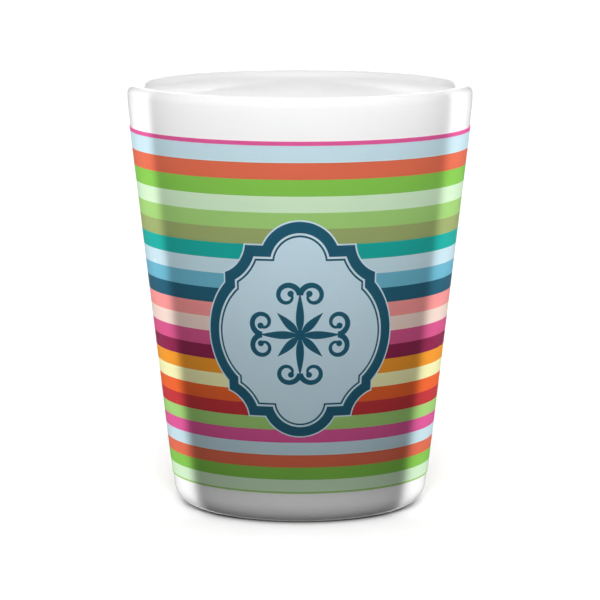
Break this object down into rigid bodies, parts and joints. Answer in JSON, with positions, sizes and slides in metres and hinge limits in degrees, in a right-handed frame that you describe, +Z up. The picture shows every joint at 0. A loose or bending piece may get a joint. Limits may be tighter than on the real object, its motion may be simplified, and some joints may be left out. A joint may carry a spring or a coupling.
{
  "type": "shot glass",
  "caption": "Small tapered drinking cup in white glazed ceramic, with a rounded rim, a bare foot ring, a striped wrap print and a lobed label with a scroll ornament.",
  "frame": {"origin": "centre of the foot ring, on the surface that the cup stands on", "axes": "+Z up along the cup's axis; -Y towards the middle of the label"},
  "size_m": [0.0488, 0.0488, 0.06],
  "materials": {
    "bare_clay": "fired, bare, slightly rough",
    "white_glaze": "clear bright gloss",
    "ink_magenta": "flat printed colour under a satin gloss",
    "ink_pale_blue": "flat printed colour under a satin gloss",
    "ink_coral": "flat printed colour under a satin gloss",
    "ink_green": "flat printed colour under a satin gloss",
    "ink_mint": "flat printed colour under a satin gloss",
    "ink_light_green": "flat printed colour under a satin gloss",
    "ink_olive": "flat printed colour under a satin gloss",
    "ink_teal": "flat printed colour under a satin gloss",
    "ink_ice_blue": "flat printed colour under a satin gloss",
    "ink_sky_blue": "flat printed colour under a satin gloss",
    "ink_navy": "flat printed colour under a satin gloss",
    "ink_salmon": "flat printed colour under a satin gloss",
    "ink_peach": "flat printed colour under a satin gloss",
    "ink_deep_magenta": "flat printed colour under a satin gloss",
    "ink_maroon": "flat printed colour under a satin gloss",
    "ink_orange": "flat printed colour under a satin gloss",
    "ink_pale_yellow": "flat printed colour under a satin gloss",
    "ink_burnt_orange": "flat printed colour under a satin gloss",
    "ink_red": "flat printed colour under a satin gloss",
    "ink_label_pale": "flat printed colour under a satin gloss",
    "ink_label_dark": "flat printed colour under a satin gloss",
    "ink_label_field": "flat printed colour under a satin gloss"
  },
  "bodies": {
    "root": {"clay_body": "bare_clay", "inside_glaze": "white_glaze", "outside_glaze": "white_glaze", "base_glaze": "white_glaze", "stripe_01_magenta_hairline": "ink_magenta", "stripe_02_pale_blue": "ink_pale_blue", "stripe_03_coral": "ink_coral", "stripe_04_green": "ink_green", "stripe_05_mint": "ink_mint", "stripe_06_light_green": "ink_light_green", "stripe_07_olive": "ink_olive", "stripe_08_teal": "ink_teal", "stripe_09_ice_blue": "ink_ice_blue", "stripe_10_sky_blue": "ink_sky_blue", "stripe_11_navy": "ink_navy", "stripe_12_salmon": "ink_salmon", "stripe_13_peach": "ink_peach", "stripe_14_magenta": "ink_deep_magenta", "stripe_15_maroon": "ink_maroon", "stripe_16_orange": "ink_orange", "stripe_17_pale_yellow": "ink_pale_yellow", "stripe_18_burnt_orange": "ink_burnt_orange", "stripe_19_red": "ink_red", "stripe_20_light_green": "ink_light_green", "stripe_21_magenta": "ink_magenta", "stripe_22_pale_blue": "ink_pale_blue", "stripe_23_coral": "ink_coral", "stripe_24_green": "ink_green", "stripe_25_mint": "ink_mint", "stripe_26_light_green_hairline": "ink_light_green", "label_edge": "ink_label_pale", "label_frame": "ink_label_dark", "label_inner_line": "ink_label_pale", "label_keyline": "ink_label_dark", "label_panel": "ink_label_field", "label_ornament": "ink_label_dark"}
  },
  "joints": []
}
